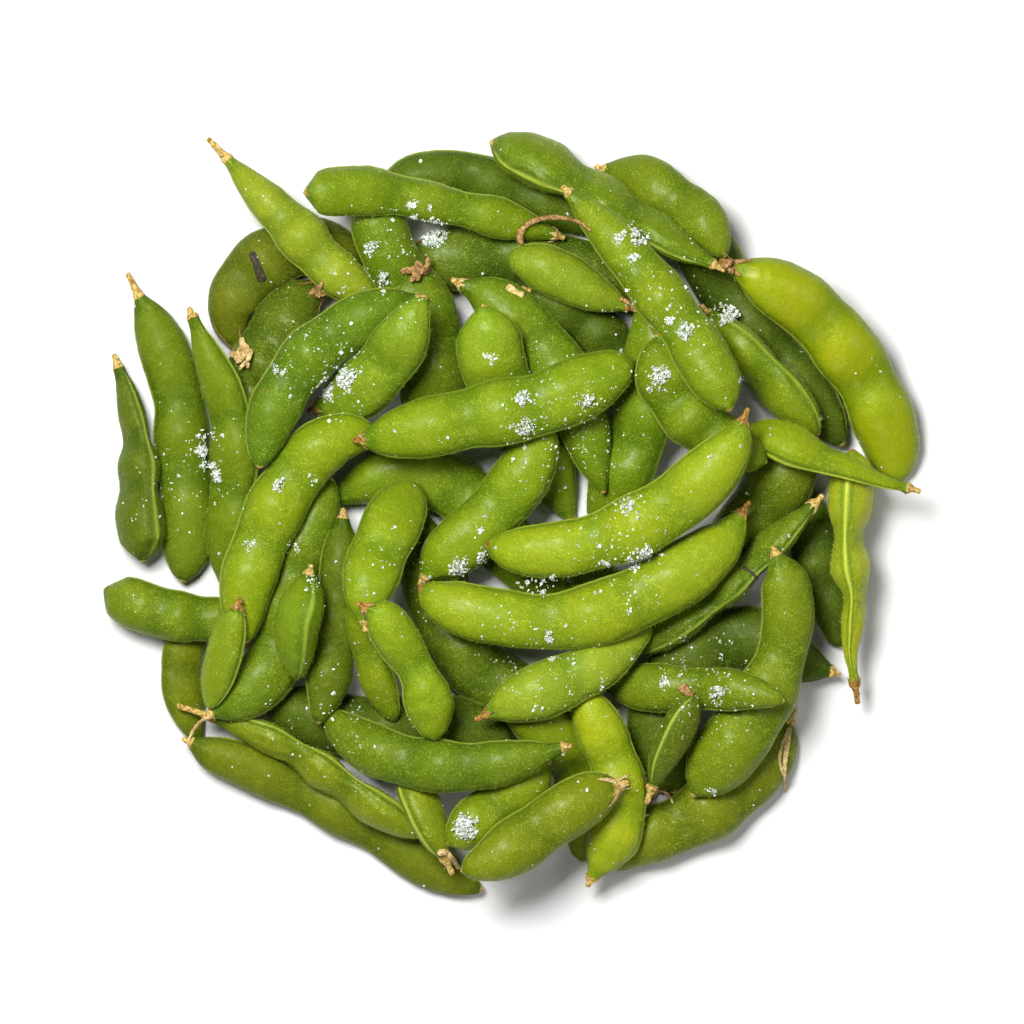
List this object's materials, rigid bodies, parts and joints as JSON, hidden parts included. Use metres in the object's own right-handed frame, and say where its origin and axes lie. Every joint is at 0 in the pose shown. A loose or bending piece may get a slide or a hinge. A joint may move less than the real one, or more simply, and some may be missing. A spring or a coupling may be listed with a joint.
{
  "type": "edamame pod bundle",
  "caption": "Loose heap of boiled, salted edamame pods with short dry stalks and beaked tips, lying across each other on a flat surface.",
  "frame": {"origin": "middle of the heap's outline seen from above, on the plane it lies on", "axes": "+Z up from the ground plane the pods lie on; +X to the right and +Y away from someone who looks at the heap from the front, so a view straight down with +Y upwards shows the heap as it lies"},
  "size_m": [0.196, 0.183, 0.0354],
  "materials": {
    "dark_right": "moist, dull satin",
    "right_under": "moist, dull satin",
    "right_inner": "moist, finely downy, satin",
    "upper_right_under": "moist, dull satin",
    "top_under": "moist, dull satin",
    "top_inner": "moist, finely downy, satin",
    "top_mid_under": "moist, dull satin",
    "mid_upright": "moist, finely downy, satin",
    "mid_under": "moist, finely downy, satin",
    "low_mid_under": "moist, finely downy, satin",
    "low_under": "moist, dull satin",
    "left_low": "moist, dull satin",
    "left_flat": "moist, finely downy, satin",
    "rim_long": "moist, finely downy, satin",
    "rim_right_low": "moist, finely downy, satin",
    "low_left_under": "moist, dull satin",
    "left_high": "moist, dull satin",
    "left_between": "moist, finely downy, satin",
    "rim_left": "moist, dull satin",
    "far_left": "moist, dull satin",
    "left_slim": "moist, dull satin",
    "low_left_over": "moist, finely downy, satin",
    "low_short": "moist, finely downy, satin",
    "low_round": "moist, finely downy, satin",
    "low_left_wide": "moist, dull satin",
    "low_centre": "moist, finely downy, satin",
    "low_left_upright": "moist, dull satin",
    "low_slim": "moist, finely downy, satin",
    "left_front": "moist, finely downy, satin",
    "single_bean": "moist, dull satin",
    "bridge_left": "moist, finely downy, satin",
    "rim_top_left": "moist, finely downy, satin",
    "top_left": "moist, finely downy, satin",
    "dark_diagonal": "moist, finely downy, satin",
    "top_small": "moist, finely downy, satin",
    "upright_bean": "moist, finely downy, satin",
    "top_right": "moist, finely downy, satin",
    "top_seam": "moist, finely downy, satin",
    "right_upright": "moist, finely downy, satin",
    "rim_right": "moist and smooth, glossy",
    "right_short": "moist, finely downy, satin",
    "right_taper": "moist, finely downy, satin",
    "centre_right": "moist, finely downy, satin",
    "upper_long": "moist, finely downy, satin",
    "right_thin": "moist, finely downy, satin",
    "centre_cross": "moist, finely downy, satin",
    "right_hook": "moist, finely downy, satin",
    "low_curve": "moist, finely downy, satin",
    "salted_low": "moist, finely downy, satin",
    "twig_pod": "moist, finely downy, satin",
    "low_leaf": "moist, finely downy, satin",
    "centre_long": "moist, finely downy, satin",
    "centre_upper": "moist, finely downy, satin",
    "upper_left_over": "moist, finely downy, satin",
    "upper_left_tip": "moist, finely downy, satin",
    "left_arch": "moist, finely downy, satin",
    "left_small": "moist, finely downy, satin",
    "left_double": "moist, finely downy, satin",
    "centre_bridge": "moist, finely downy, satin",
    "low_right_over": "moist, finely downy, satin"
  },
  "bodies": {
    "root": {"dark_right": "dark_right", "right_under": "right_under", "right_inner": "right_inner", "upper_right_under": "upper_right_under", "top_under": "top_under", "top_inner": "top_inner", "top_mid_under": "top_mid_under", "mid_upright": "mid_upright", "mid_under": "mid_under", "low_mid_under": "low_mid_under", "low_under": "low_under", "left_low": "left_low", "left_flat": "left_flat", "rim_long": "rim_long", "rim_right_low": "rim_right_low", "low_left_under": "low_left_under", "left_high": "left_high", "left_between": "left_between", "rim_left": "rim_left", "far_left": "far_left", "left_slim": "left_slim", "low_left_over": "low_left_over", "low_short": "low_short", "low_round": "low_round", "low_left_wide": "low_left_wide", "low_centre": "low_centre", "low_left_upright": "low_left_upright", "low_slim": "low_slim", "left_front": "left_front", "single_bean": "single_bean", "bridge_left": "bridge_left", "rim_top_left": "rim_top_left", "top_left": "top_left", "dark_diagonal": "dark_diagonal", "top_small": "top_small", "upright_bean": "upright_bean", "top_right": "top_right", "top_seam": "top_seam", "right_upright": "right_upright", "rim_right": "rim_right", "right_short": "right_short", "right_taper": "right_taper", "centre_right": "centre_right", "upper_long": "upper_long", "right_thin": "right_thin", "centre_cross": "centre_cross", "right_hook": "right_hook", "low_curve": "low_curve", "salted_low": "salted_low", "twig_pod": "twig_pod", "low_leaf": "low_leaf", "centre_long": "centre_long", "centre_upper": "centre_upper", "upper_left_over": "upper_left_over", "upper_left_tip": "upper_left_tip", "left_arch": "left_arch", "left_small": "left_small", "left_double": "left_double", "centre_bridge": "centre_bridge", "low_right_over": "low_right_over"}
  },
  "joints": []
}
